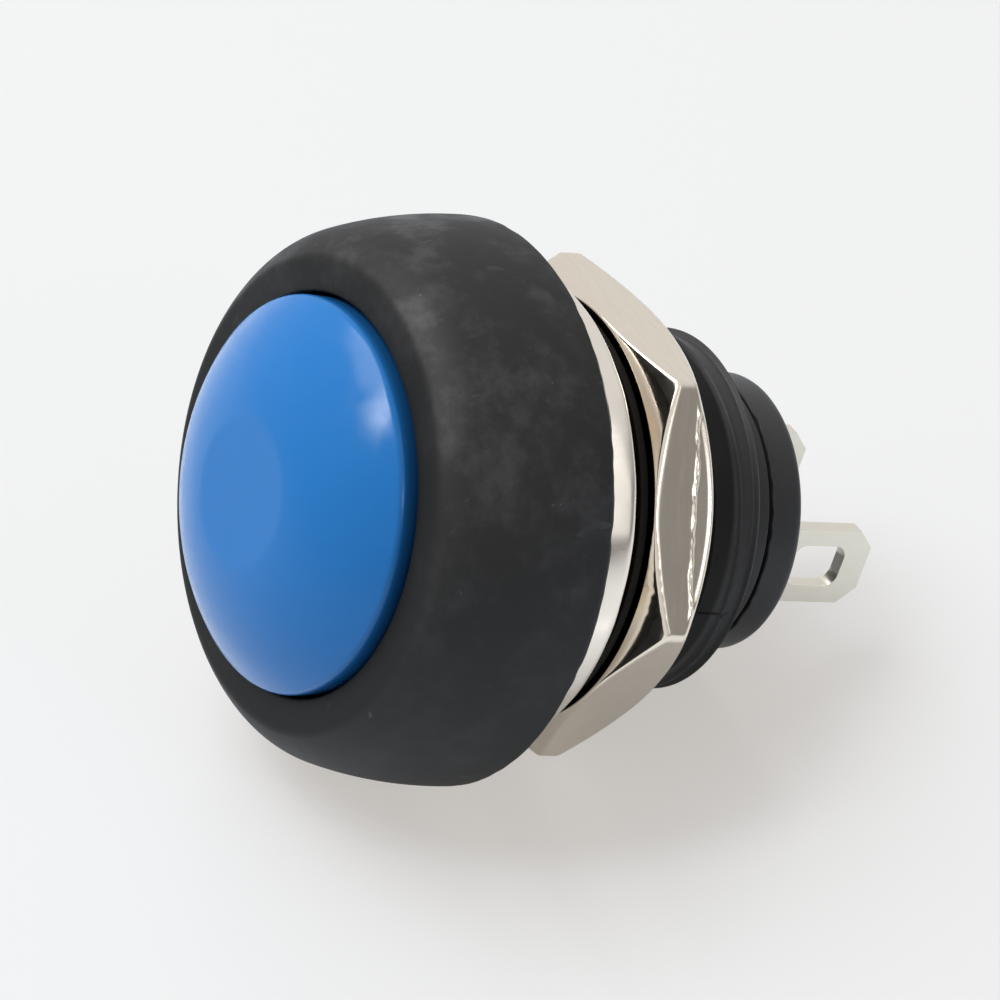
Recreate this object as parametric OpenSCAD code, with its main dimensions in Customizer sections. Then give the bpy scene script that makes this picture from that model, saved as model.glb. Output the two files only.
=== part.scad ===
// Momentary push button switch for a round panel hole.
// The switch axis is Y: the button faces -Y, the solder lugs point to +Y and Z is up.
// The origin is on the axis, in the plane of the seat ring's rear face, where the panel seats.
// Millimetres throughout.

/* [Button] */
// Diameter of the button cap's side wall
cap_d = 12.65; // [10.5:0.05:15.2]
// Length of the cap's side wall, from its rounded rim to the open end
cap_skirt = 2.4; // [2:0.05:2.9]
// How far the cap's rim stands proud of the lip around it
cap_proud = 0.57; // [0.4:0.01:0.7]
// Rise of the dome from the rim to the flat disc in its middle
dome_rise = 1.8; // [1.5:0.05:2.2]
// Diameter of the flat disc in the middle of the dome
disc_d = 4.6; // [3.8:0.1:5.6]
// How far the dome's flank bulges over a straight cone
dome_bulge = 0.1; // [0.04:0.01:0.2]
// Radius of the edge between the dome and the side wall
rim_r = 0.25; // [0.15:0.01:0.35]
// Thickness of the cap's side wall
cap_wall = 0.9; // [0.7:0.05:1.1]
// Travel of the button from rest to its stop
travel = 1.8; // [1.5:0.05:2.1]

/* [Head] */
// Width of the smooth lip around the button
lip_w = 1.1; // [0.9:0.01:1.35]
// Backward slope of the lip, in degrees
lip_slope = 1; // [0.5:0.5:3]
// Radius of the head's rounded shoulder
shoulder_r = 2.4; // [2:0.05:2.9]
// Radius of the head's long flank arc
flank_r = 14; // [11.5:0.5:17]
// Angle at which the shoulder takes over from the flank, in degrees
shoulder_turn = 15.5; // [12.5:0.5:18.5]
// Wall of the head around the bushing's flange
head_wall = 0.72; // [0.6:0.01:0.9]
// Distance from the head's widest circle to its rear edge
rear_tuck = 0.64; // [0.53:0.01:0.77]

/* [Bushing] */
// Major diameter of the bushing's thread
thread_d = 11.6; // [9.7:0.1:14]
// Length of the threaded barrel behind the seat plane
thread_len = 6; // [5.5:0.05:7.2]
// Chamfer at the end of the thread
thread_chamfer = 0.3; // [0.2:0.05:0.4]
// Wall between the thread's crest and the contact chamber
barrel_wall = 1.9; // [1.6:0.05:2.3]
// Length of the thinner tail behind the thread
tail_len = 1.21; // [1:0.01:1.45]
// Wall of the tail around the contact chamber
tail_wall = 0.55; // [0.45:0.05:0.65]
// Thickness of the bushing's flange under the head
flange_t = 1.55; // [1.35:0.05:1.85]
// Wall of the pocket that the button sinks into
pocket_wall = 0.75; // [0.6:0.05:0.9]
// Diameter of the bore that guides the plunger
guide_d = 5; // [4.2:0.1:5.8]
// Length of the guide bore through the bushing's front wall
guide_len = 2.85; // [2.6:0.05:3.4]

/* [Mounting hardware] */
// Thickness of the nickel seat ring under the head
seat_ring_t = 1.75; // [1.45:0.05:2.1]
// Width of the seat ring from bore to rim
seat_ring_w = 1.76; // [1.45:0.01:2.1]
// Edge radius of the seat ring
seat_ring_edge = 0.22; // [0.1:0.02:0.35]
// Gap left for the panel between seat ring and lock washer, as shipped
panel_gap = 0.68; // [0.56:0.01:0.82]
// Thickness of the lock washer
washer_t = 0.3; // [0.25:0.01:0.36]
// Width of the lock washer's plain outer band
washer_band = 0.48; // [0.4:0.01:0.58]
// Length of the lock washer's inner teeth
tooth_len = 0.4; // [0.33:0.01:0.48]
// Number of the lock washer's inner teeth
tooth_count = 14; // [10:1:18]
// Space between lock washer and nut, as shipped
nut_gap = 0.08; // [0.06:0.01:0.1]
// Wall of the hexagon nut between thread and flat
nut_wall = 1.2; // [1:0.05:1.5]
// Thickness of the hexagon nut
nut_t = 2.28; // [1.9:0.01:2.75]
// Slope of the nut's corner chamfers, in degrees
nut_chamfer = 32; // [26:1:38]
// Thread pitch, which sets the countersinks of the nut
pitch = 1; // [0.75:0.05:1.25]

/* [Terminals] */
// Width of a solder lug
lug_w = 2.7; // [2.3:0.05:3.2]
// Thickness of a solder lug
lug_t = 0.5; // [0.4:0.05:0.6]
// Length of a solder lug behind the base
lug_len = 4; // [3.4:0.05:4.8]
// Distance of each lug's middle plane from the axis
lug_x = 2.45; // [2.2:0.05:2.8]
// Offset of each lug across the axis, one up and one down
lug_stagger = 0.35; // [0.29:0.01:0.42]
// Width of the wire eye
eye_w = 1.5; // [1.25:0.05:1.8]
// Length of the wire eye
eye_len = 1.95; // [1.6:0.05:2.35]
// Length of the base's rim behind its groove
base_rim = 1.25; // [1.05:0.05:1.5]
// Width of the groove between the bushing's tail and the base
base_groove = 0.1; // [0.08:0.01:0.15]

/* [Contacts] */
// Length that the contact spring gives up after the contacts meet
overtravel = 0.5; // [0.35:0.05:0.6]
// Diameter of a contact rivet's head
rivet_d = 1.1; // [0.9:0.05:1.3]
// Thickness of a contact rivet's head
rivet_t = 0.35; // [0.25:0.05:0.4]
// Thickness of the contact bridge
bridge_t = 0.3; // [0.25:0.05:0.4]
// Width of the contact bridge
bridge_w = 1.7; // [1.5:0.05:2]
// Wire of the return spring
return_wire = 0.4; // [0.3:0.02:0.42]
// Turns of the return spring
return_turns = 4; // [3:0.5:4.5]
// Wire of the contact spring
contact_wire = 0.25; // [0.2:0.01:0.28]
// Turns of the contact spring
contact_turns = 4.5; // [3.5:0.5:5]

/* [Hidden] */
$fn = 96;

// Clearances between pieces
run_fit = 0.05;      // a piece that slides or turns on another
nest_fit = 0.03;     // a piece that is set into another and stays
cap_gap = 0.1;       // the button's side wall in the lip
pocket_gap = 0.25;   // the button's side wall in the pocket
end_gap = 0.02;      // a spring end and its seat
contact_gap = 0.03;  // the closed contacts at full travel
big = 40;            // larger than the switch
eps = 0.01;          // a cut's overshoot

// Radii of the thread side
thread_r = thread_d / 2;
chamber_r = thread_r - barrel_wall;
tail_r = chamber_r + tail_wall;
guide_r = guide_d / 2;
stem_r = guide_r - run_fit;
seat_bore_r = thread_r + run_fit;
seat_ring_r = thread_r + seat_ring_w + run_fit;
washer_bore_r = thread_r + 0.07;
washer_r = washer_bore_r + tooth_len + washer_band;
nut_bore_r = thread_r + run_fit;
nut_af = thread_d + 2 * nut_wall;

// Radii of the button side
cap_r = cap_d / 2;
lip_in_r = cap_r + cap_gap;
lip_out_r = lip_in_r + lip_w;
pocket_r = cap_r + pocket_gap;
pocket_out_r = pocket_r + pocket_wall;
flange_r = pocket_out_r + 1;
bead_out = 0.3;      // retaining bead on the pocket wall, and its length
bead_len = 0.5;

// Stations along Y, from the button to the lugs
flange_rear = -seat_ring_t;
floor_y = flange_rear - flange_t;
rear_bevel = 0.2;
// The head's outline is a flank arc about `flank_c` that runs into a shoulder arc about `shoulder_c`
head_r = flange_r + nest_fit + head_wall;
widest_y = flange_rear - rear_tuck;
flank_c = [head_r - flank_r, widest_y];
shoulder_c = flank_c + (flank_r - shoulder_r) * [cos(shoulder_turn), -sin(shoulder_turn)];
crease_y = shoulder_c[1] - sqrt(pow(shoulder_r, 2) - pow(lip_out_r - shoulder_c[0], 2));
lip_y = crease_y - lip_w * tan(lip_slope);
rim_y = lip_y - cap_proud;
disc_y = rim_y - dome_rise;
skirt_y = rim_y + cap_skirt;
pocket_top = lip_y + 0.85;
ceiling_y = rim_y + 0.12;
crown_y = ceiling_y - 1.15;
seat_boss = 0.5;     // height of the ring that centres the return spring
chamber_y = floor_y + guide_len;
tail_y = thread_len;
base_y = tail_y + tail_len;
rim_front_y = base_y + base_groove;
base_rear = rim_front_y + base_rim;
lug_tip = base_rear + lug_len;

// Stations of the hardware
washer_y = panel_gap;
nut_y = washer_y + washer_t + nut_gap;

// Plunger and contacts
clip_gap = 0.05;     // between the clip and the chamber's front wall, at rest
clip_t = 0.3;
clip_wall = 0.85;
clip_y = chamber_y + clip_gap;
stem_end = clip_y + clip_t + 0.7;
pin_r = 0.7;
spring_room = 2.2;   // length of the contact spring as fitted
bridge_y = stem_end + spring_room;
small_clip_t = 0.25;
small_clip_y = bridge_y + bridge_t + end_gap;
pin_end = small_clip_y + small_clip_t + 0.25;
closing = travel - overtravel;
moving_face = bridge_y + bridge_t + rivet_t;
fixed_face = moving_face + closing + contact_gap;
foot_y = fixed_face + rivet_t;
foot_inner = 1.5;    // inner end of a terminal's foot, clear of the plunger's pin
base_front = foot_y + lug_t + 0.15;
contact_x = (foot_inner + lug_x + lug_t / 2) / 2;
contact_turn = -atan2(lug_stagger, contact_x);
contact_reach = norm([contact_x, lug_stagger]);
rivet_stem_r = 0.3;

// Turns a profile of [radius, y] points about the switch axis
module turned() {
    rotate([-90, 0, 0]) rotate_extrude() intersection() {
        children();
        translate([0, -big]) square([big, 2 * big]);
    }
}

// A ring of rectangular section between two radii and two stations
module ring(r_in, r_out, y_from, y_to) {
    turned() translate([r_in, y_from]) square([r_out - r_in, y_to - y_from]);
}

// A flat plate across the axis, drawn in X and Z, from station y to y + t
module plate(y, t) {
    translate([0, y + t, 0]) rotate([90, 0, 0]) linear_extrude(t) children();
}

// A coil of round wire about the switch axis, with a closed end at each side
function coil_point(a, r, wire, y_from, y_to, turns) =
    let (share = a / (360 * turns),
         lead = (y_to - y_from - wire) * (0.5 - 0.5 * cos(180 * share)) * 0.35
              + (y_to - y_from - wire) * share * 0.65)
    [r * cos(a), y_from + wire / 2 + lead, r * sin(a)];

module coil(r, wire, y_from, y_to, turns, per_turn = 24, sides = 8) {
    count = floor(turns * per_turn);
    points = [for (i = [0 : count]) let (a = i * 360 / per_turn,
                  c = coil_point(a, r, wire, y_from, y_to, turns))
              for (k = [0 : sides - 1]) let (b = k * 360 / sides)
                  c + wire / 2 * (cos(b) * [cos(a), 0, sin(a)] + sin(b) * [0, 1, 0])];
    skin = [for (i = [0 : count - 1]) for (k = [0 : sides - 1])
            let (n = (k + 1) % sides)
            [i * sides + k, (i + 1) * sides + k, (i + 1) * sides + n, i * sides + n]];
    first = [for (k = [0 : sides - 1]) k];
    last = [for (k = [sides - 1 : -1 : 0]) count * sides + k];
    polyhedron(points, concat(skin, [first, last]), convexity = 10);
}

// The cap: a low dome with a flat disc, a rounded rim and a plain side wall
rim_point = [cap_r - rim_r * 0.8, rim_y - rim_r * 0.5];
disc_point = [disc_d / 2, disc_y];
dome_chord = norm(rim_point - disc_point);
dome_r = pow(dome_chord, 2) / (8 * dome_bulge) + dome_bulge / 2;
dome_side = [(rim_point - disc_point)[1], -(rim_point - disc_point)[0]] / dome_chord;
dome_c = (rim_point + disc_point) / 2 - dome_side * (dome_r - dome_bulge);
rim_cy = dome_c[1] - sqrt(pow(dome_r - rim_r, 2) - pow(cap_r - rim_r - dome_c[0], 2));

module cap_outline() {
    intersection() {
        union() {
            intersection() {
                translate(dome_c) circle(dome_r, $fn = 360);
                translate([0, disc_y]) square([cap_r - rim_r, skirt_y - disc_y]);
            }
            translate([cap_r - rim_r, rim_cy]) circle(rim_r);
            translate([0, rim_cy]) square([cap_r, skirt_y - rim_cy]);
        }
        translate([0, disc_y]) square([cap_r, skirt_y - disc_y]);
    }
}

module button_cap() {
    color([0.13, 0.40, 0.72]) turned() difference() {
        cap_outline();
        translate([0, ceiling_y]) square([cap_r - cap_wall, big]);
        translate([0, crown_y]) square([plunger_head_r + nest_fit, big]);
    }
}

// The rubber head: one moulding from the lip around the button to its rear edge
module head_outline() {
    reach = 2 * flank_r;
    along = reach * [cos(shoulder_turn), -sin(shoulder_turn)];
    across = reach * [sin(shoulder_turn), cos(shoulder_turn)];
    intersection() {
        translate(shoulder_c) circle(shoulder_r, $fn = 180);
        polygon([flank_c, flank_c + along, flank_c + along - across, flank_c - across]);
    }
    intersection() {
        translate(flank_c) circle(flank_r, $fn = 360);
        polygon([flank_c, flank_c + along, flank_c + along + across, flank_c + across]);
    }
}

module head_cover() {
    cone_y = crease_y - lip_out_r * tan(lip_slope);
    color([0.10, 0.10, 0.11]) turned() difference() {
        head_outline();
        polygon([[0, cone_y], [lip_out_r, crease_y], [lip_out_r, -big], [0, -big]]);
        polygon([[head_r - rear_bevel, flange_rear], [head_r + 1, flange_rear - rear_bevel - 1],
                 [head_r + 1, big], [0, big], [0, flange_rear]]);
        translate([0, -big]) square([lip_in_r, 2 * big]);
        translate([0, pocket_top]) square([pocket_out_r + nest_fit, big]);
        translate([0, bead_y - nest_fit])
            square([pocket_out_r + bead_out + nest_fit, bead_len + 2 * nest_fit]);
        translate([0, floor_y]) square([flange_r + nest_fit, big]);
    }
}

// The bushing: pocket, flange, threaded barrel and tail in one moulding
bead_y = (pocket_top + floor_y) / 2 - bead_len / 2;
seal_wire = 0.9;
seal_r = thread_r + 0.3 + seal_wire / 2;
seal_groove = seal_wire + 0.05;

module bushing_outline() {
    difference() {
        union() {
            translate([0, pocket_top]) square([pocket_out_r, floor_y - pocket_top + eps]);
            translate([0, bead_y]) square([pocket_out_r + bead_out, bead_len]);
            translate([0, floor_y]) square([flange_r, flange_t]);
            polygon([[0, floor_y], [thread_r, floor_y], [thread_r, thread_len - thread_chamfer],
                     [thread_r - thread_chamfer, thread_len], [0, thread_len]]);
            square([tail_r, base_y]);
        }
        translate([0, pocket_top - eps]) square([pocket_r, floor_y - pocket_top + eps]);
        translate([seal_r - seal_wire / 2 - nest_fit, flange_rear - seal_groove])
            square([seal_wire + 2 * nest_fit, seal_groove + eps]);
        translate([0, -big]) square([guide_r, 2 * big]);
        translate([0, chamber_y]) square([chamber_r, big]);
    }
    translate([guide_r, floor_y - seat_boss]) square([boss_wall, seat_boss + eps]);
}

boss_wall = 1.1;

module bushing() {
    color([0.13, 0.13, 0.14]) turned() bushing_outline();
}

// The nickel ring under the head, which the panel seats against
module seat_ring() {
    color([0.80, 0.79, 0.76]) turned() {
        e = seat_ring_edge;
        difference() {
            translate([seat_bore_r, flange_rear]) square([seat_ring_r - seat_bore_r, seat_ring_t]);
            translate([seat_ring_r - e, flange_rear - eps]) square([e + eps, e + eps]);
            translate([seat_ring_r - e, -e]) square([e + eps, e + eps]);
        }
        translate([seat_ring_r - e, flange_rear + e]) circle(e);
        translate([seat_ring_r - e, -e]) circle(e);
    }
}

// Round rubber seal in the flange's rear groove
module panel_seal() {
    color([0.06, 0.06, 0.06])
        turned() translate([seal_r, flange_rear - seal_wire / 2 - nest_fit / 2]) circle(seal_wire / 2);
}

// Lock washer with a plain band and inner teeth
module lock_washer() {
    gap_share = 0.42;
    color([0.16, 0.15, 0.14]) plate(washer_y, washer_t) difference() {
        circle(washer_r);
        circle(washer_bore_r);
        for (i = [0 : tooth_count - 1]) rotate(i * 360 / tooth_count) {
            half = 180 / tooth_count * gap_share;
            root = washer_bore_r + tooth_len;
            polygon([[0, 0], root / cos(half) * [cos(half), -sin(half)],
                     root / cos(half) * [cos(half), sin(half)]]);
        }
    }
}

// Hexagon nut, chamfered at both faces and countersunk at both ends of its thread
module hex_nut() {
    corner = nut_af / sqrt(3);
    flat_r = nut_af / 2 - 0.1;
    drop = (corner - flat_r) * tan(nut_chamfer);
    sink = pitch * 0.35;
    color([0.80, 0.79, 0.76]) difference() {
        intersection() {
            plate(nut_y, nut_t) circle(corner, $fn = 6);
            turned() polygon([[0, nut_y], [flat_r, nut_y], [corner, nut_y + drop],
                              [corner + 1, nut_y + drop], [corner + 1, nut_y + nut_t - drop],
                              [corner, nut_y + nut_t - drop], [flat_r, nut_y + nut_t],
                              [0, nut_y + nut_t]]);
        }
        turned() polygon([[0, nut_y - eps], [nut_bore_r + sink + eps, nut_y - eps],
                          [nut_bore_r, nut_y + sink], [nut_bore_r, nut_y + nut_t - sink],
                          [nut_bore_r + sink + eps, nut_y + nut_t + eps], [0, nut_y + nut_t + eps]]);
    }
}

// Plunger: a head in the cap, a stem in the guide bore and a pin that carries the bridge
plunger_head_r = 3.2;
seal_ring_wire = 0.6;
plunger_seal_y = floor_y + 0.55;
groove_r = stem_r - seal_ring_wire;
clip_groove_r = stem_r - 0.55;
small_groove_r = pin_r - 0.2;

module plunger() {
    color([0.90, 0.90, 0.88]) turned() difference() {
        union() {
            translate([0, crown_y + nest_fit])
                square([plunger_head_r, ceiling_y - crown_y - nest_fit]);
            translate([0, crown_y + 0.1]) square([stem_r, stem_end - crown_y - 0.1]);
            translate([0, stem_end - eps]) square([pin_r, pin_end - stem_end + eps]);
        }
        translate([groove_r, plunger_seal_y - seal_ring_wire / 2 - nest_fit])
            square([big, seal_ring_wire + 2 * nest_fit]);
        translate([clip_groove_r, clip_y - nest_fit]) square([big, clip_t + 2 * nest_fit]);
        translate([small_groove_r, small_clip_y - nest_fit])
            square([big, small_clip_t + 2 * nest_fit]);
    }
}

// Round seal that wipes the guide bore
module plunger_seal() {
    wire_r = (stem_r - groove_r) / 2 - nest_fit / 2;
    color([0.08, 0.08, 0.08])
        turned() translate([groove_r + nest_fit + wire_r - nest_fit / 2, plunger_seal_y]) circle(wire_r);
}

// Open spring clip that snaps into a groove from the side
module snap_clip(y, t, r_in, r_out, mouth) {
    plate(y, t) difference() {
        circle(r_out);
        circle(r_in);
        translate([-mouth / 2, 0]) square([mouth, r_out + 1]);
        for (a = [30, 150]) rotate(a - 180) translate([(r_in + r_out) / 2, 0])
            circle((r_out - r_in) * 0.22, $fn = 24);
    }
}

module plunger_clip() {
    color([0.66, 0.66, 0.68])
        snap_clip(clip_y, clip_t, clip_groove_r + nest_fit, stem_r + clip_wall, 2 * clip_groove_r * 0.8);
}

module bridge_clip() {
    color([0.66, 0.66, 0.68])
        snap_clip(small_clip_y, small_clip_t, small_groove_r + nest_fit, pin_r + 0.55, 0.8);
}

// Coil springs: one returns the button, one presses the bridge
module return_spring() {
    color([0.72, 0.73, 0.75])
        coil(guide_r + boss_wall + return_wire / 2 + 0.2, return_wire, ceiling_y + end_gap,
             floor_y - end_gap, return_turns, 28);
}

module contact_spring() {
    color([0.72, 0.73, 0.75])
        coil(pin_r + contact_wire / 2 + 0.17, contact_wire, stem_end + end_gap,
             bridge_y - end_gap, contact_turns, 20, 6);
}

// Contact bridge: a sprung copper-alloy bar with a bore for the plunger's pin
module contact_bridge() {
    color([0.80, 0.58, 0.30]) plate(bridge_y, bridge_t) rotate(contact_turn) difference() {
        union() {
            square([2 * contact_reach, bridge_w], center = true);
            for (side = [-1, 1]) translate([side * contact_reach, 0]) circle(bridge_w / 2);
            circle(bridge_w / 2 + 0.35);
        }
        circle(pin_r + 0.08);
        for (side = [-1, 1]) translate([side * contact_reach, 0]) circle(rivet_stem_r + nest_fit);
    }
}

// A contact rivet: a low head with a rounded edge, on a stem through its carrier
module rivet(side, face_y, head_dir, carrier_t) {
    edge = 0.1;
    translate([side * contact_x, face_y, -side * lug_stagger]) mirror([0, head_dir < 0 ? 1 : 0, 0])
        turned() {
            difference() {
                translate([0, -rivet_t]) square([rivet_d / 2, rivet_t]);
                translate([rivet_d / 2 - edge, -edge]) square(edge + eps);
            }
            translate([rivet_d / 2 - edge, -edge]) circle(edge, $fn = 48);
            translate([0, -rivet_t - carrier_t]) square([rivet_stem_r, carrier_t + eps]);
        }
}

module bridge_rivet_left() { color([0.86, 0.86, 0.87]) rivet(-1, moving_face, 1, bridge_t); }
module bridge_rivet_right() { color([0.86, 0.86, 0.87]) rivet(1, moving_face, 1, bridge_t); }
module fixed_contact_left() { color([0.86, 0.86, 0.87]) rivet(-1, fixed_face, -1, lug_t); }
module fixed_contact_right() { color([0.86, 0.86, 0.87]) rivet(1, fixed_face, -1, lug_t); }

// Terminal: solder lug with a wire eye, shoulder behind the base and a foot for the contact
shoulder_w = lug_w + 0.5;
tip_cut = 0.6;
eye_margin = 0.9;     // from the eye to the lug's tip

module rounded_slot(length, width, corner) {
    difference() {
        square([length, width], center = true);
        for (sx = [-1, 1]) for (sy = [-1, 1])
            translate([sx * (length / 2 - corner), sy * (width / 2 - corner)])
                difference() {
                    translate([sx > 0 ? 0 : -corner - eps, sy > 0 ? 0 : -corner - eps])
                        square(corner + eps);
                    circle(corner, $fn = 48);
                }
    }
}

module terminal(side) {
    foot_x = lug_x + lug_t / 2 - foot_inner;
    eye_y = lug_tip - eye_margin - eye_len / 2;
    color([0.83, 0.82, 0.79]) translate([0, 0, -side * lug_stagger])
        mirror([side < 0 ? 1 : 0, 0, 0]) difference() {
            union() {
                translate([lug_x - lug_t / 2, 0, 0]) rotate([90, 0, 90]) linear_extrude(lug_t)
                    difference() {
                        polygon([[foot_y, -lug_w / 2], [lug_tip - tip_cut, -lug_w / 2],
                                 [lug_tip, -lug_w / 2 + tip_cut], [lug_tip, lug_w / 2 - tip_cut],
                                 [lug_tip - tip_cut, lug_w / 2], [foot_y, lug_w / 2]]);
                        translate([eye_y, 0]) rounded_slot(eye_len, eye_w, 0.45);
                    }
                translate([lug_x - lug_t / 2, foot_y, -shoulder_w / 2])
                    cube([lug_t, base_front - foot_y, shoulder_w]);
                translate([foot_inner, foot_y, -shoulder_w / 2]) cube([foot_x, lug_t, shoulder_w]);
            }
            translate([contact_x, foot_y - 1, 0]) rotate([-90, 0, 0])
                cylinder(r = rivet_stem_r + nest_fit, h = lug_t + 2, $fn = 48);
        }
}

module terminal_left() { terminal(-1); }
module terminal_right() { terminal(1); }

// Slots through the base and the potting for both lugs
module lug_slots(y_from, y_to) {
    for (side = [-1, 1])
        translate([side * lug_x - lug_t / 2 - nest_fit, y_from, -side * lug_stagger - lug_w / 2 - nest_fit])
            cube([lug_t + 2 * nest_fit, y_to - y_from, lug_w + 2 * nest_fit]);
}

// Base: plug that closes the contact chamber, with a visible groove before its rim
pot_depth = 0.5;
pot_wall = 0.75;
base_edge = 0.35;

module base() {
    neck_r = (chamber_r + tail_r) / 2;
    color([0.13, 0.13, 0.14]) difference() {
        turned() {
            translate([0, base_front]) square([chamber_r - nest_fit, base_y - base_front + eps]);
            translate([0, base_y]) square([neck_r, base_groove + eps]);
            difference() {
                translate([0, rim_front_y]) square([tail_r, base_rim]);
                translate([tail_r - base_edge, base_rear - base_edge]) square(base_edge + eps);
                translate([0, base_rear - pot_depth]) square([tail_r - pot_wall, pot_depth + eps]);
            }
            translate([tail_r - base_edge, base_rear - base_edge]) circle(base_edge);
        }
        lug_slots(base_front - 1, base_rear + 1);
    }
}

// Potting that seals the lugs where they leave the base
module potting() {
    color([0.16, 0.15, 0.15]) difference() {
        ring(0, tail_r - pot_wall - nest_fit, base_rear - pot_depth, base_rear);
        lug_slots(base_rear - 2, base_rear + 1);
    }
}

button_cap();
head_cover();
bushing();
seat_ring();
panel_seal();
lock_washer();
hex_nut();
plunger();
plunger_seal();
plunger_clip();
return_spring();
contact_spring();
contact_bridge();
bridge_rivet_left();
bridge_rivet_right();
bridge_clip();
fixed_contact_left();
fixed_contact_right();
terminal_left();
terminal_right();
base();
potting();
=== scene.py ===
"""Momentary push button switch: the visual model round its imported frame.

The switch axis is Y, with the button towards -Y and the solder lugs towards +Y. Lengths in the
code are millimetres, and `MM` turns them into metres where a mesh, a material or the frame takes
them. Angles are radians.
"""

import math
from functools import cache
from types import SimpleNamespace

import bmesh
import bpy
import numpy as np
from bpy.props import FloatProperty, FloatVectorProperty, PointerProperty
from bpy.types import NodeSocket, Operator, Panel, PropertyGroup
from mathutils import Matrix, Vector


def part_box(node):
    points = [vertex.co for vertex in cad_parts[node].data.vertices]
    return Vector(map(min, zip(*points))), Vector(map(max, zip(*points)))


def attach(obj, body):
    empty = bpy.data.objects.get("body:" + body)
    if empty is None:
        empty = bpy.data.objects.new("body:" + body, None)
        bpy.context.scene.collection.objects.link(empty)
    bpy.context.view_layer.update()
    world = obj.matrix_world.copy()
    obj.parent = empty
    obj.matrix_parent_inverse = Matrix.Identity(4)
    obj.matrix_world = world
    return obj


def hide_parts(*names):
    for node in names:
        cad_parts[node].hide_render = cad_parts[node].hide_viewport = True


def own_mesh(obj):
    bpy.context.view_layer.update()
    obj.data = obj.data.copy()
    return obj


bl_info = {
    "name": "Push Button Switch",
    "version": (1, 0, 0),
    "blender": (4, 5, 0),
    "location": "View3D > Sidebar > Switch",
    "description": "Builds the surfaces and finishes of a panel push button switch",
    "category": "Object",
}

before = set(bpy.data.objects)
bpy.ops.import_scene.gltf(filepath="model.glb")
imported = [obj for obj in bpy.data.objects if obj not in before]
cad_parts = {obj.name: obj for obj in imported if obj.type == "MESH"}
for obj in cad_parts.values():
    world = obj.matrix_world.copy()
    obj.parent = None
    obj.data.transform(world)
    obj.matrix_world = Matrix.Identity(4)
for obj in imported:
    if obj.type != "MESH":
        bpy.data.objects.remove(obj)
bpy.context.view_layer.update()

MM = 0.001
TAU = 2 * math.pi


def stations(node):
    """First and last station of a CAD node along Y, and its outer radius, in millimetres."""
    low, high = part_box(node)
    return low.y / MM, high.y / MM, max(high.x, high.z) / MM


CAP_FRONT, CAP_END, CAP_R = stations("button_cap")
HEAD_FRONT, HEAD_END, HEAD_R = stations("head_cover")
BUSH_FRONT, TAIL_END, FLANGE_R = stations("bushing")
RING_FRONT, RING_END, RING_R = stations("seat_ring")
WASHER_FRONT, WASHER_END, WASHER_R = stations("lock_washer")
NUT_FRONT, NUT_END = stations("hex_nut")[:2]
BASE_FRONT, BASE_END, BASE_R = stations("base")
# the floor behind the return spring, the bore of the head's lip, and the chamber of the contacts
POCKET_FLOOR = stations("return_spring")[1] + 0.02
LIP_IN = CAP_R + 0.1
CHAMBER_R = 3.9


# ---------------- sizes and colours


def length(name, description, default, low, high):
    """A length property, given here in millimetres and held in metres."""
    return FloatProperty(name=name, description=description, default=default * MM, min=low * MM,
                         max=high * MM, precision=5, unit="LENGTH")


def angle(name, description, default, low, high):
    """An angle property, given here in degrees and held in radians."""
    return FloatProperty(name=name, description=description, default=math.radians(default),
                         min=math.radians(low), max=math.radians(high), subtype="ANGLE")


def colour(name, description, value):
    """A colour property with its linear default."""
    return FloatVectorProperty(name=name, description=description, subtype="COLOR", size=3,
                               min=0.0, max=1.0, default=value)


class SwitchSizes(PropertyGroup):
    """Sizes that the CAD boxes don't give"""

    disc_radius: length("Disc radius", "Flat disc in the middle of the dome", 2.4, 1.0, 4.0)
    dome_rise: length("Dome rise", "From the cap's rim to its flat disc", 1.8, 0.5, 3.0)
    dome_bulge: length("Dome bulge", "How far the dome's flank bulges over a cone", 0.3, 0.05, 0.5)
    rim_round: length("Rim round", "Edge radius between dome and side wall", 0.34, 0.05, 0.5)
    lip_width: length("Lip width", "Smooth lip around the button", 1.1, 0.5, 2.0)
    flank_radius: length("Flank radius", "Long arc of the head's flank", 14.0, 8.0, 30.0)
    shoulder_radius: length("Shoulder radius", "Rounded front shoulder of the head", 2.4, 1.0, 5.0)
    shoulder_turn: angle("Shoulder turn", "Angle where the shoulder takes over", 15.5, 5.0, 40.0)
    rear_tuck: length("Rear tuck", "From the head's widest circle to its rear edge", 0.64, 0.1, 2.0)
    crest_radius: length("Thread crest radius", "Crest of the bushing's thread", 5.8, 4.0, 8.0)
    thread_end: length("Thread end", "Station where the threaded barrel ends", 6.0, 3.0, 12.0)
    thread_pitch: length("Thread pitch", "Travel of the nut in one turn", 1.0, 0.5, 2.0)
    thread_depth: length("Thread depth", "From crest to root of the thread", 0.16, 0.05, 0.8)
    thread_gap: length("Thread clearance", "Play between nut and bushing thread", 0.05, 0.01, 0.2)
    nut_chamfer: angle("Nut chamfer", "Slope of the nut's corner chamfers", 32.0, 15.0, 45.0)
    corner_round: length("Nut corner round", "Radius of the edges between flats", 0.35, 0.05, 0.8)
    flat_radius: length("Nut half width", "Half the nut's width across flats", 7.0, 4.0, 12.0)
    burr_relief: length("Burr relief", "Step of the break line on the nut's flats", 0.05, 0.0, 0.2)
    ring_crown: length("Ring crown", "How far the ring narrows towards its front", 0.34, 0.0, 0.5)
    travel: length("Travel", "How far the button goes in", 1.8, 1.0, 2.2)
    overtravel: length("Overtravel", "How far the contact spring gives in", 0.5, 0.1, 1.0)


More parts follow.
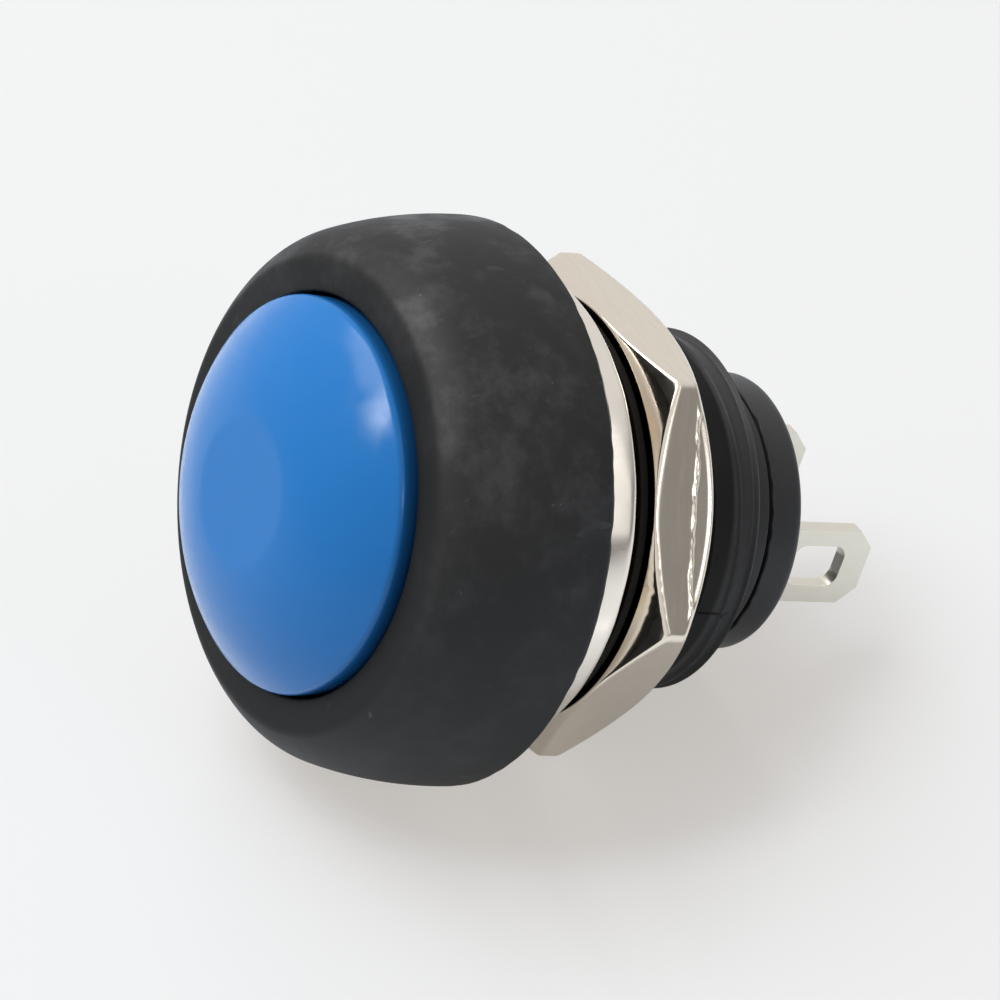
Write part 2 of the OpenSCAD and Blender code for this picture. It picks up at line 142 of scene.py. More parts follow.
class SwitchColours(PropertyGroup):
    """Base colours, linear"""

    cap: colour("Cap", "Blue of the button cap", (0.006, 0.138, 0.42))
    head: colour("Head", "Dark grey of the head moulding", (0.0085, 0.0085, 0.009))
    body: colour("Body", "Black of bushing and base", (0.024, 0.024, 0.025))
    nickel: colour("Nickel", "Plating of ring and nut", (0.86, 0.80, 0.72))
    tin: colour("Tin", "Plating of the solder lugs", (0.80, 0.76, 0.665))
    floor: colour("Floor", "Pale floor", (0.72, 0.785, 0.85))


def sizes():
    """The sizes in force: lengths in millimetres, angles in radians."""
    group = bpy.context.scene.switch_sizes
    kinds = group.bl_rna.properties
    return SimpleNamespace(**{key: getattr(group, key) / (MM if kinds[key].unit == "LENGTH" else 1)
                              for key in SwitchSizes.__annotations__})


def colours():
    """The colours in force."""
    return bpy.context.scene.switch_colours


# ---------------- surfaces

# wavy lines round the axis: seed, counts of waves in a turn, falloff and height
WAVES = {
    "head edge": (3, (5, 9, 14, 23, 37, 51, 73), 0.35, 0.028),
    "head swell": (7, (2, 3, 5), 0.5, 0.012),
    "ring dents": (11, (3, 7, 12, 19, 31), 0.3, 0.014),
    "break line": (21, (5, 11, 19, 31, 47, 71), 0.4, 0.035),
    "burr": (22, (13, 29, 53, 83, 127), 0.1, 0.6),
    "nicks": (23, (130, 117, 61), 0.1, 0.4),
    "base edge": (31, (2, 5, 9, 17, 29, 43), 0.3, 0.05),
}


def even_turn(count):
    """Evenly spaced angles of one full turn."""
    return np.arange(count) * TAU / count


def smoothstep(x, low, high):
    """0 up to low, 1 from high, and 3 t^2 - 2 t^3 of the share t between them."""
    t = np.clip((x - low) / (high - low), 0, 1)
    return t * t * (3 - 2 * t)


def bell(x, width):
    """A bell curve: e to the power of minus x over width, squared."""
    return np.exp(-(x / width) ** 2)


def waves(a, name):
    """A smooth wavy line round a turn: a sum of sines with whole-number counts, seeded phases and
    heights that fall as count ** -falloff, scaled to about the line's height."""
    seed, counts, falloff, size = WAVES[name]
    draw = np.random.default_rng(seed)
    counts = np.asarray(counts, float)
    phase = draw.uniform(0, TAU, len(counts))
    height = draw.uniform(0.5, 1.0, len(counts)) * (counts / counts[0]) ** -falloff
    total = np.tensordot(np.sin(np.multiply.outer(a, counts) + phase), height, 1)
    return size * total / np.sqrt((height ** 2).sum())


def thread_cut(a, y, depth, pitch):
    """How far a right-hand moulded thread lies under its crest. Its thin rounded ridges stand on a
    plain root: the phase is y / pitch - a / turn - start, and a ridge is a bell curve of the
    distance from the phase to its nearest whole number."""
    start, ridge_width = 0.08, 0.085
    phase = np.mod(y / pitch - a / TAU - start + 0.5, 1.0) - 0.5
    return depth * (1 - bell(phase * pitch, ridge_width))


def circle_arc(centre, radius, start, end, count):
    """Points centre + radius * (cos t, sin t) for t evenly from start to end."""
    t = np.linspace(start, end, count)
    return np.stack([centre[0] + radius * np.cos(t), centre[1] + radius * np.sin(t)], -1)


def soften(points, cuts, steps):
    """Rounds a closed outline. Each corner turns into the quadratic curve between the two points
    that lie `cut` away from it on its sides, with one more point a little further out on each side
    so that the shading of the flats stays flat. Works on arrays of shape (..., corners, 2)."""
    # shares of a side that a cut and its further point may take, and cuts to the further point
    most_cut, most_lead, lead_cuts = 0.45, 0.49, 1.6
    p = np.asarray(points, float)
    c = np.broadcast_to(np.asarray(cuts, float), p.shape[:-1])[..., None]
    s = np.linspace(0, 1, steps + 1)[:, None]
    sides = []
    for neighbour in (np.roll(p, 1, -2), np.roll(p, -1, -2)):
        span = np.linalg.norm(neighbour - p, axis=-1, keepdims=True)
        way = (neighbour - p) / np.maximum(span, 1e-9)
        cut = np.minimum(c, span * most_cut)
        lead = p + way * np.minimum(cut * lead_cuts, span * most_lead)
        sides.append((p + way * cut, lead[..., None, :]))
    (start, lead), (end, tail) = sides
    arc = ((1 - s) ** 2 * start[..., None, :] + 2 * s * (1 - s) * p[..., None, :]
           + s ** 2 * end[..., None, :])
    return np.concatenate([lead, arc, tail], axis=-2).reshape(*p.shape[:-2], -1, 2)


def soften_line(points, cuts, steps):
    """Rounds the inner corners of an open line. Its two end points are left out."""
    end = steps + 3
    return soften(points, [0, *cuts, 0], steps)[end:-end]


def spread(points, longest):
    """Adds points on the sides of a closed outline so that no side is longer than `longest`."""
    p = np.asarray(points, float)
    q = np.roll(p, -1, 0)
    parts = np.maximum(np.ceil(np.linalg.norm(q - p, axis=1) / longest).astype(int), 1)
    at = np.repeat(np.arange(len(p)), parts)
    share = (np.arange(parts.sum()) - np.repeat(np.cumsum(parts) - parts, parts)) / parts[at]
    return p[at] + (q[at] - p[at]) * share[:, None]


def turned(outline, angles):
    """The angles as a column, with the radii and stations of one outline at each of them."""
    a = angles[:, None]
    return a, *np.broadcast_to(outline.T[:, None], (2, len(a), len(outline)))


def columns(a, *values):
    """Values side by side at every angle. Each is one number or a column over the angles."""
    return np.concatenate([np.broadcast_to(value, a.shape) for value in values], 1)


def grid_faces(n, m, closed):
    """Quads between the neighbours of an n by m grid. The m points of a row form a ring, and the
    n rows do too where the grid is closed."""
    i, j = np.meshgrid(np.arange(n if closed else n - 1), np.arange(m), indexing="ij")
    i2, j2 = (i + 1) % n, (j + 1) % m
    return np.stack([i * m + j, i2 * m + j, i2 * m + j2, i * m + j2], -1).reshape(-1, 4)


def new_object(name, verts, faces, material):
    """An object in the scene, from points in millimetres."""
    mesh = bpy.data.meshes.new(name)
    mesh.from_pydata((verts * MM).tolist(), [], faces.tolist())
    mesh.materials.append(material)
    thing = bpy.data.objects.new(name, mesh)
    bpy.context.scene.collection.objects.link(thing)
    return thing


def mesh_piece(name, verts, faces, material, body, node):
    """A piece that stands for a CAD node and takes its slot. Its seams are closed, its faces turn
    outward, and it rides on a body."""
    piece = new_object(name, verts, faces, material)
    mesh = piece.data
    work = bmesh.new()
    work.from_mesh(mesh)
    bmesh.ops.remove_doubles(work, verts=work.verts, dist=1e-7)
    bmesh.ops.recalc_face_normals(work, faces=work.faces)
    work.to_mesh(mesh)
    work.free()
    mesh.polygons.foreach_set("use_smooth", np.ones(len(mesh.polygons), bool))
    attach(piece, body)
    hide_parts(node)
    return piece


def lathe(name, radii, along, a, material, body, node):
    """Turns a closed outline about Y. A point at angle a is (r sin a, y, r cos a), where r and y
    are arrays over angle and outline, so both may change round the axis. A point within a
    micrometre of the axis is set on it."""
    n, m = len(a), radii.shape[-1]
    r, y = (np.broadcast_to(v, (n, m)) for v in (np.where(radii < 1e-3, 0, radii), along))
    verts = np.stack([r * np.sin(a), y, r * np.cos(a)], -1).reshape(-1, 3)
    mesh_piece(name, verts, grid_faces(n, m, True), material, body, node)


# ---------------- materials


def shade(base, k):
    """A colour k times as bright."""
    return tuple(c * k for c in base)


class Nodes:
    """A node tree with short calls for adding and joining nodes"""

    def __init__(self, tree):
        self.tree = tree

    def feed(self, node, **inputs):
        """Sets a node's inputs, or joins them to other nodes' outputs. An input goes by its name,
        with _ for a space, or by its place, as _0."""
        for key, value in inputs.items():
            socket = node.inputs[int(key[1:]) if key[0] == "_" else key.replace("_", " ")]
            if isinstance(value, NodeSocket):
                self.tree.links.new(value, socket)
            else:
                socket.default_value = value
        return node

    def add(self, kind, settings=None, **inputs):
        """A new shader node."""
        node = self.tree.nodes.new("ShaderNode" + kind)
        for key, value in (settings or {}).items():
            setattr(node, key, value)
        return self.feed(node, **inputs)

    def place(self, group, **inputs):
        """The outputs of an effect, placed with its own values."""
        return self.add("Group", {"node_tree": group}, **inputs).outputs

    def math(self, operation, a, b):
        """Two values joined by a Math node."""
        return self.add("Math", {"operation": operation}, _0=a, _1=b).outputs[0]

    def times(self, a, b):
        """a times b."""
        return self.math("MULTIPLY", a, b)

    def plus(self, a, b):
        """a plus b."""
        return self.math("ADD", a, b)

    def minus(self, a, b):
        """a minus b."""
        return self.math("SUBTRACT", a, b)

    def blend(self, factor, a, b):
        """Colour mix from a to b."""
        a, b = (v if isinstance(v, NodeSocket) else (*v, 1) for v in (a, b))
        return self.add("Mix", {"data_type": "RGBA"}, _0=factor, _6=a, _7=b).outputs[2]

    def range(self, value, low, high, to_low=0.0, to_high=1.0):
        """A smooth step of the value, from to_low at low to to_high at high."""
        return self.add("MapRange", {"interpolation_type": "SMOOTHSTEP"}, _0=value, _1=low,
                        _2=high, _3=to_low, _4=to_high).outputs[0]

    def by_grain(self, grain, low, high):
        """A value that follows the grain's height, from low to high."""
        return self.range(grain["Height"], 0.3, 0.7, low, high)

    def noise(self, **inputs):
        """The value of a noise texture."""
        return self.add("TexNoise", **inputs).outputs["Fac"]

    def coords(self, stretch=None):
        """Object coordinates in metres, stretched by a Mapping node where a stretch is given."""
        plain = self.add("TexCoord").outputs["Object"]
        return self.add("Mapping", Vector=plain, Scale=stretch).outputs[0] if stretch else plain

    def grain(self, scale, stretch=None):
        """The grain effect on object coordinates."""
        return self.place(grain_effect(), Vector=self.coords(stretch), Scale=scale)

    def part(self, index):
        """One of the object coordinates, in metres."""
        return self.add("SeparateXYZ", Vector=self.coords()).outputs[index]

    def off_axis(self):
        """Distance from the switch axis, in metres."""
        flat = self.coords((1, 0, 1))
        return self.add("VectorMath", {"operation": "LENGTH"}, _0=flat).outputs["Value"]


class Finish(Nodes):
    """A material with one Principled shader"""

    def __init__(self, name, base, roughness, metallic=0.0, specular=0.5):
        self.material = bpy.data.materials.new(name)
        self.material.use_nodes = True
        self.material.diffuse_color = (*base, 1)
        super().__init__(self.material.node_tree)
        self.shader = self.tree.nodes["Principled BSDF"]
        self.feed(self.shader, Base_Color=(*base, 1), Roughness=roughness, Metallic=metallic,
                  Specular_IOR_Level=specular)

    def done(self, tone, roughness, grain, strength, depth):
        """Joins colour and roughness, lets the grain's height turn the normals, and gives the
        material."""
        normal = self.add("Bump", Height=grain["Height"], Strength=strength, Distance=depth * MM)
        self.feed(self.shader, Base_Color=tone, Roughness=roughness, Normal=normal.outputs[0])
        return self.material


def effect(name, inputs, outputs, build):
    """A shader node group, made once. An input has its default, or None for a vector, and each
    output is a value."""
    if name in bpy.data.node_groups:
        return bpy.data.node_groups[name]
    tree = bpy.data.node_groups.new(name, "ShaderNodeTree")
    for label, default in inputs.items():
        kind = "NodeSocketVector" if default is None else "NodeSocketFloat"
        socket = tree.interface.new_socket(label, in_out="INPUT", socket_type=kind)
        if default is not None:
            socket.default_value = default
    for label in outputs:
        tree.interface.new_socket(label, in_out="OUTPUT", socket_type="NodeSocketFloat")
    source = tree.nodes.new("NodeGroupInput")
    sink = tree.nodes.new("NodeGroupOutput")
    for label, socket in build(Nodes(tree), source.outputs).items():
        tree.links.new(socket, sink.inputs[label])
    return tree


def grain_effect():
    """Fine grain: noise in a few octaves gives a height, and a slow noise gives mottling."""
    def build(n, given):
        fine = n.noise(Vector=given["Vector"], Scale=given["Scale"], Detail=3.0, Roughness=0.6)
        slow = n.noise(Vector=given["Vector"], Scale=n.times(given["Scale"], 0.06), Detail=2.0)
        return {"Height": fine, "Mottle": n.range(slow, 0.35, 0.65)}
    return effect("Fine Grain", {"Vector": None, "Scale": 4000.0}, ("Height", "Mottle"), build)


def speck_effect():
    """Dust: cells of a Voronoi pattern whose random value is high carry a small round speck."""
    def build(n, given):
        cells = n.add("TexVoronoi", Vector=given["Vector"], Scale=given["Scale"]).outputs
        chance, share = n.add("SeparateColor", Color=cells["Color"]).outputs[:2]
        size = n.times(given["Size"], share)
        inside = n.range(cells["Distance"], size, n.times(size, 0.4))
        return {"Mask": n.times(inside, n.math("GREATER_THAN", chance, given["Rarity"]))}
    return effect("Dust Specks", {"Vector": None, "Scale": 1500.0, "Size": 0.25, "Rarity": 0.8},
                  ("Mask",), build)


def scratch_effect():
    """Short scratches: noise drawn out along one direction of the given coordinates, kept only
    where it is highest, and only in patches picked by a slower noise."""
    def build(n, given):
        streak = n.noise(Vector=given["Vector"], Scale=given["Scale"], Detail=1.0, Roughness=0.4)
        patch = n.noise(Vector=given["Vector"], Scale=n.times(given["Scale"], 0.31))
        line = n.range(streak, given["Cut"], n.plus(given["Cut"], 0.06))
        return {"Mask": n.times(line, n.range(patch, 0.5, 0.65))}
    return effect("Fine Scratches", {"Vector": None, "Scale": 900.0, "Cut": 0.66}, ("Mask",), build)


# near black, painted on as shade: on the head's lip and on the barrel behind the nut
PAINTED_SHADE_TONE = (0.001, 0.001, 0.001)


@cache
def cap_finish():
    """Glossy blue plastic, a little wavy, with painted shade on the side wall under the head's lip.
    """
    base = tuple(colours().cap)
    n = Finish("Cap Plastic", base, 0.2, specular=0.3)
    grain = n.grain(1700.0)
    tone = n.blend(n.times(grain["Height"], 0.2), base, shade(base, 0.8))
    rim = CAP_FRONT + sizes().dome_rise
    # painted shade: the side wall behind the rim is darkened where the head's lip shades it
    painted_wall_shade = n.range(n.part(1), (rim - 0.05) * MM, (rim + 0.5) * MM, 0.0, 0.75)
    tone = n.blend(painted_wall_shade, tone, (0.006, 0.025, 0.07))
    return n.done(tone, n.by_grain(grain, 0.15, 0.25), grain, 0.3, 0.01)


@cache
def head_finish():
    """Matte dark plastic with moulded grain, pale rubbed clouds towards its top, specks of dust
    on them and short scuffs. The lip has painted shade: it is darkened towards black."""
    base = tuple(colours().head)
    n = Finish("Head Rubber", base, 0.56, specular=0.34)
    coords = n.coords()
    grain = n.grain(5200.0)
    shake = n.add("TexNoise", Vector=coords, Scale=5000.0).outputs["Color"]
    shaken = n.add("VectorMath", {"operation": "MULTIPLY_ADD"}, _0=shake, _1=(0.2 * MM,) * 3,
                   _2=coords).outputs[0]
    dust = n.place(speck_effect(), Vector=shaken, Scale=2300.0, Size=0.3, Rarity=0.86)
    scuff = n.place(scratch_effect(), Vector=n.coords((3.5, 0.9, 1.2)), Scale=900.0, Cut=0.68)
    cloud = n.noise(Vector=coords, Scale=430.0, Detail=5.0, Roughness=0.66)
    upward = n.range(n.part(2), -2 * MM, 8 * MM, 0.3, 1.0)
    worn = n.times(n.range(cloud, 0.44, 0.72), upward)
    tone = n.blend(worn, base, shade(base, 4.0))
    tone = n.blend(n.times(scuff["Mask"], 0.35), tone, (0.10, 0.10, 0.105))
    tone = n.blend(n.times(dust["Mask"], n.times(worn, 0.6)), tone, (0.2, 0.2, 0.2))
    lip_out = LIP_IN + sizes().lip_width
    # painted shade on the lip: its tone goes three quarters of the way to near black
    on_lip = n.range(n.off_axis(), (lip_out + 0.25) * MM, (lip_out - 0.1) * MM)
    tone = n.blend(n.times(on_lip, 0.75), tone, PAINTED_SHADE_TONE)
    roughness = n.plus(n.range(worn, 0, 1, 0.58, 0.48), n.times(on_lip, 0.12))
    return n.done(tone, roughness, grain, 0.25, 0.012)


@cache
def body_finish():
    """Satin black moulded plastic, with painted shadow of the nut: the barrel behind the nut, and
    all before it, is darkened there and made rougher.
    """
    base = tuple(colours().body)
    n = Finish("Body Plastic", base, 0.4, specular=0.33)
    grain = n.grain(3600.0)
    dust = n.place(speck_effect(), Vector=n.coords(), Scale=1100.0, Size=0.2, Rarity=0.92)
    tone = n.blend(n.times(grain["Mottle"], 0.5), base, shade(base, 1.5))
    tone = n.blend(n.times(dust["Mask"], 0.4), tone, (0.25, 0.25, 0.25))
    end = sizes().thread_end
    # painted shadow of the nut: all in front of the thread's last millimetre is darkened
    painted_shade_mask = n.range(n.part(1), (end - 0.85) * MM, (end - 1.1) * MM)
    tone = n.blend(n.times(painted_shade_mask, 0.9), tone, PAINTED_SHADE_TONE)
    roughness = n.plus(n.range(grain["Mottle"], 0, 1, 0.36, 0.46), n.times(painted_shade_mask, 0.35))
    return n.done(tone, roughness, grain, 0.15, 0.01)


@cache
def nickel_finish():
    """Bright nickel plate with a slow tone change, rolled marks and fine pits."""
    base = tuple(colours().nickel)
    n = Finish("Nickel Plate", base, 0.17, metallic=1.0)
    grain = n.grain(2200.0, (1, 0.35, 1))
    pits = n.place(speck_effect(), Vector=n.coords(), Scale=1500.0, Size=0.2, Rarity=0.93)
    tone = n.blend(n.times(grain["Mottle"], 0.2), base, shade(base, 0.9))
    tone = n.blend(n.times(pits["Mask"], 0.25), tone, shade(base, 0.5))
    return n.done(tone, n.by_grain(grain, 0.13, 0.21), grain, 0.04, 0.008)


@cache
def nut_finish():
    """Nickel plate of the nut: warmer, brushed along its flats, with a polished front chamfer, and
    painted shade on its front face, where it lies on the lock washer. The chamfer is a cone, so its
    height over the face is its slope times its radius."""
    base = tuple(c * k for c, k in zip(colours().nickel, (0.97, 0.94, 0.90)))
    n = Finish("Nut Nickel", base, 0.17, metallic=1.0)
    brush = n.grain(7000.0, (0.12, 1, 0.12))
    pits = n.place(speck_effect(), Vector=n.coords(), Scale=1500.0, Size=0.2, Rarity=0.93)
    streaks = n.times(n.range(brush["Height"], 0.35, 0.65), 0.14)
    tone = n.blend(streaks, base, shade(base, 0.8))
    tone = n.blend(n.times(pits["Mask"], 0.3), tone, shade(base, 0.5))
    along = n.part(1)
    # painted shade: the front face is darkened to stand in for the deep shade of the gap behind the
    # seat ring
    painted_shade_mask = n.range(along, (NUT_FRONT + 0.02) * MM, (NUT_FRONT + 0.004) * MM)
    tone = n.blend(painted_shade_mask, tone, (0.03, 0.027, 0.024))
    s = sizes()
    cone = n.times(n.minus(n.off_axis(), (s.flat_radius - 0.1) * MM), math.tan(s.nut_chamfer))
    over = n.minus(n.minus(along, NUT_FRONT * MM), cone)
    polished = n.range(over, 0.09 * MM, 0.03 * MM)
    roughness = n.times(n.by_grain(brush, 0.13, 0.21), n.range(polished, 0, 1, 1.0, 0.5))
    return n.done(tone, roughness, brush, 0.02, 0.006)


@cache
def black_steel_shade_finish():
    """Blackened spring steel with a brown cast and worn, paler patches. Its base is darker than
    such steel alone: part of it is painted shade for the gap between the seat ring and the nut.
    """
    # partly painted shade: darker than blackened steel, so the gap it sits in looks shaded
    base = (0.005, 0.0045, 0.004)
    n = Finish("Black Steel", base, 0.6, specular=0.12)
    grain = n.grain(3000.0)
    tone = n.blend(n.times(grain["Mottle"], 0.5), base, (0.012, 0.010, 0.009))
    return n.done(tone, n.by_grain(grain, 0.42, 0.58), grain, 0.2, 0.01)


@cache
def tin_finish():
    """Bright tin plate with faint rolling lines along the lug."""
    base = tuple(colours().tin)
    n = Finish("Tinned Brass", base, 0.34, metallic=1.0)
    grain = n.grain(3400.0, (1, 0.2, 1))
    tone = n.blend(n.times(grain["Mottle"], 0.3), base, shade(base, 0.92))
    return n.done(tone, n.by_grain(grain, 0.32, 0.36), grain, 0.025, 0.006)


# base colour, roughness, metallic, grain scale, bump strength and the CAD nodes that take it
PLAIN = {
    "Seal Rubber": ((0.025, 0.025, 0.025), 0.6, 0.0, 5000.0, 0.3, "panel_seal plunger_seal"),
    "Spring Steel": ((0.60, 0.60, 0.61), 0.3, 1.0, 4000.0, 0.1, "plunger_clip bridge_clip"),
    "Plunger Plastic": ((0.82, 0.82, 0.78), 0.4, 0.0, 3000.0, 0.1, "plunger"),
    "Bridge Alloy": ((0.72, 0.43, 0.19), 0.28, 1.0, 3500.0, 0.15, "contact_bridge"),
    "Contact Silver": ((0.85, 0.85, 0.83), 0.3, 1.0, 4500.0, 0.1,
                       "bridge_rivet_left bridge_rivet_right "
                       "fixed_contact_left fixed_contact_right"),
    "Potting Resin": ((0.04, 0.04, 0.042), 0.2, 0.0, 1500.0, 0.2, "potting"),
}


@cache
def plain_finish(name):
    """Finish of an inner piece: a tone that drifts with slow noise, and grain in the normal."""
    base, roughness, metallic, scale, strength = PLAIN[name][:-1]
    n = Finish(name, base, roughness, metallic)
    grain = n.grain(scale)
    tone = n.blend(n.times(grain["Mottle"], 0.5), base, shade(base, 0.75))
    rough = n.by_grain(grain, roughness * 0.85, min(roughness * 1.15, 1))
    return n.done(tone, rough, grain, strength, 0.01)


# ---------------- pieces


class SwitchOperator:
    """Shared settings of the operators"""

    bl_options = {"REGISTER", "UNDO"}


class SWITCH_OT_button_cap(SwitchOperator, Operator):
    """Build the button cap: a low dome with a flat disc, a rounded rim and a side wall"""

    bl_idname = "switch.button_cap"
    bl_label = "Button Cap"

    def execute(self, context):
        s = sizes()
        rim = CAP_FRONT + s.dome_rise
        # the flank is an arc that bulges over the chord from the disc's edge to the rim
        rim_point = np.array([CAP_R - s.rim_round * 0.8, rim - s.rim_round * 0.5])
        disc_point = np.array([s.disc_radius, CAP_FRONT])
        run = rim_point - disc_point
        chord = np.linalg.norm(run)
        dome_r = chord ** 2 / (8 * s.dome_bulge) + s.dome_bulge / 2
        across = np.array([run[1], -run[0]]) / chord
        centre = (rim_point + disc_point) / 2 - across * (dome_r - s.dome_bulge)
        # the rim's arc touches the flank's arc from inside, and ends on the side wall
        rim_x = CAP_R - s.rim_round
        rim_y = centre[1] - math.sqrt((dome_r - s.rim_round) ** 2 - (rim_x - centre[0]) ** 2)
        meet = math.atan2(rim_y - centre[1], rim_x - centre[0])
        lift = math.atan2(*(disc_point - centre)[::-1])
        disc_blend, wall, socket = 0.34, 0.9, 3.23
        ceiling, crown = rim + 0.12, rim - 1.03
        disc = np.stack([np.linspace(0, s.disc_radius - disc_blend - 0.01, 6),
                         np.full(6, CAP_FRONT)], -1)
        dome = circle_arc(centre, dome_r, lift, meet, 26)[2:]
        bridge = soften_line([disc[-1], disc_point, dome[0]], [disc_blend], 8)
        edge = circle_arc((rim_x, rim_y), s.rim_round, meet, 0, 9)[1:]
        inner = soften([[CAP_R, CAP_END], [CAP_R - wall, CAP_END], [CAP_R - wall, ceiling],
                        [socket, ceiling], [socket, crown], [0, crown]],
                       [0.08, 0.12, 0.2, 0.08, 0.08, 0], 3)
        outline = spread(np.concatenate([disc, bridge, dome, edge, inner]), 0.6)
        a, r, y = turned(outline, even_turn(240))
        lathe("cap_dome", r, y, a, cap_finish(), "button", "button_cap")
        return {"FINISHED"}


class SWITCH_OT_head(SwitchOperator, Operator):
    """Build the head: a lip around the button, a round shoulder and a long, ragged-edged flank"""

    bl_idname = "switch.head"
    bl_label = "Head Moulding"

    def execute(self, context):
        s = sizes()
        # the flank's long arc and the shoulder's arc meet at the shoulder turn
        widest = HEAD_END - s.rear_tuck
        flank_c = np.array([HEAD_R - s.flank_radius, widest])
        meet = np.array([math.cos(s.shoulder_turn), -math.sin(s.shoulder_turn)])
        shoulder_c = flank_c + (s.flank_radius - s.shoulder_radius) * meet
        lip_out, lead, bevel = LIP_IN + s.lip_width, 0.3, 0.2
        crease = shoulder_c[1] - math.sqrt(s.shoulder_radius ** 2 - (lip_out - shoulder_c[0]) ** 2)
        lead_turn = -math.acos((lip_out + lead - shoulder_c[0]) / s.shoulder_radius)
        end_turn = math.asin((HEAD_END - bevel - widest) / s.flank_radius)
        shoulder = circle_arc(shoulder_c, s.shoulder_radius, lead_turn, -s.shoulder_turn, 40)
        flank = circle_arc(flank_c, s.flank_radius, -s.shoulder_turn, end_turn, 44)[1:]
        lip = soften_line([[LIP_IN, HEAD_FRONT + lead], [LIP_IN, HEAD_FRONT], [lip_out, crease],
                           shoulder[0]], [0.12, 0.24], 6)
        # inside, the shell fits the bushing's pocket and flange, and has a retaining groove
        shell, flange, groove, groove_long = 7.355, FLANGE_R + 0.03, 0.33, 0.56
        groove_y = (BUSH_FRONT + POCKET_FLOOR) / 2 - groove_long / 2
        tail = soften([[flank[-1][0], HEAD_END - bevel], [flank[-1][0] - bevel * 0.9, HEAD_END],
                       [flange, HEAD_END], [flange, POCKET_FLOOR], [shell, POCKET_FLOOR],
                       [shell, groove_y + groove_long], [shell + groove, groove_y + groove_long],
                       [shell + groove, groove_y], [shell, groove_y], [shell, BUSH_FRONT],
                       [LIP_IN, BUSH_FRONT]], [0.05, 0.06, *[0.04] * 9], 3)
        outline = spread(np.concatenate([lip, shoulder, flank, tail]), 0.3)
        a, r, y = turned(outline, even_turn(256))
        rear = smoothstep(y, HEAD_END - 0.45, HEAD_END) * (r > flange + 0.2)
        ragged = waves(a, "head edge")
        swell = waves(a, "head swell") * smoothstep(r, lip_out, lip_out + 0.8)
        r = r + swell - rear * np.abs(ragged) * 0.5
        y = y + rear * np.minimum(ragged, 0.03)
        lathe("head_shell", r, y, a, head_finish(), "housing", "head_cover")
        return {"FINISHED"}


class SWITCH_OT_bushing(SwitchOperator, Operator):
    """Build the bushing with its moulded thread and the line where its mould parts"""

    bl_idname = "switch.bushing"
    bl_label = "Threaded Bushing"

    def execute(self, context):
        s = sizes()
        seat, crest, end = HEAD_END, s.crest_radius, s.thread_end
        pocket, pocket_out, back = CAP_R + 0.25, 7.325, -0.45
        seal_in, seal_out, groove = 6.07, 7.03, seat - 0.95
        guide, cup, cup_floor = 2.5, 3.6, POCKET_FLOOR - 0.5
        corners = [
            [pocket, BUSH_FRONT], [pocket_out, BUSH_FRONT], [pocket_out, POCKET_FLOOR],
            [FLANGE_R, POCKET_FLOOR], [FLANGE_R, seat], [seal_out, seat], [seal_out, groove],
            [seal_in, groove], [seal_in, seat], [crest, seat], [crest, end - 0.14],
            [crest - 0.16, end], [BASE_R, end], [BASE_R, TAIL_END], [CHAMBER_R, TAIL_END],
            [CHAMBER_R, back], [guide, back], [guide, cup_floor], [cup, cup_floor],
            [cup, POCKET_FLOOR], [pocket, POCKET_FLOOR]]
        outline = spread(soften(corners, 0.05, 3), 0.5)
        # finer points along the barrel carry the thread
        on_crest = (np.abs(outline[:, 0] - crest) < 0.02) & (outline[:, 1] > seat + 0.1)
        first, last = np.flatnonzero(on_crest)[[0, -1]]
        fine = np.linspace(outline[first], outline[last], 190)
        outline = np.concatenate([outline[:first], fine, outline[last + 1:]])
        barrel = np.zeros(len(outline))
        barrel[first:first + len(fine)] = 1
        seam, seam_half, seam_width, seam_depth = math.radians(95), 0.016, 0.007, 0.1
        at_seam = seam + np.linspace(-seam_half, seam_half, 9)
        a, r, y = turned(outline, np.sort(np.concatenate([even_turn(256), at_seam])))
        cut = (thread_cut(a, y, s.thread_depth, s.thread_pitch) * smoothstep(y, 0.0, 0.6)
               * smoothstep(y, end - 0.13, end - 0.24))
        parting = seam_depth * bell(a - seam, seam_width) * smoothstep(y, end - 0.35, end - 0.45)
        r = r - (cut + parting) * barrel
        lathe("bushing_barrel", r, y, a, body_finish(), "housing", "bushing")
        return {"FINISHED"}


class SWITCH_OT_seat_ring(SwitchOperator, Operator):
    """Build the nickel seat ring with rounded edges"""

    bl_idname = "switch.seat_ring"
    bl_label = "Seat Ring"

    def execute(self, context):
        s = sizes()
        bore, crest, width = s.crest_radius + 0.05, RING_END - 0.15, RING_END - RING_FRONT
        corners = [[bore, RING_FRONT], [RING_R, RING_FRONT], [RING_R, RING_END], [bore, RING_END]]
        outline = spread(soften(corners, [0.1, 0.25, 0.22, 0.1], 6), 0.09)
        a, r, y = turned(outline, even_turn(256))
        outer = smoothstep(r, RING_R - 0.3, RING_R - 0.1)
        crown = s.ring_crown * (np.clip(crest - y, 0, None) / width) ** 1.4
        dents = WAVES["ring dents"][-1] + waves(a, "ring dents")
        r = r - outer * (crown + dents)
        lathe("seat_band", r, y, a, nickel_finish(), "housing", "seat_ring")
        return {"FINISHED"}


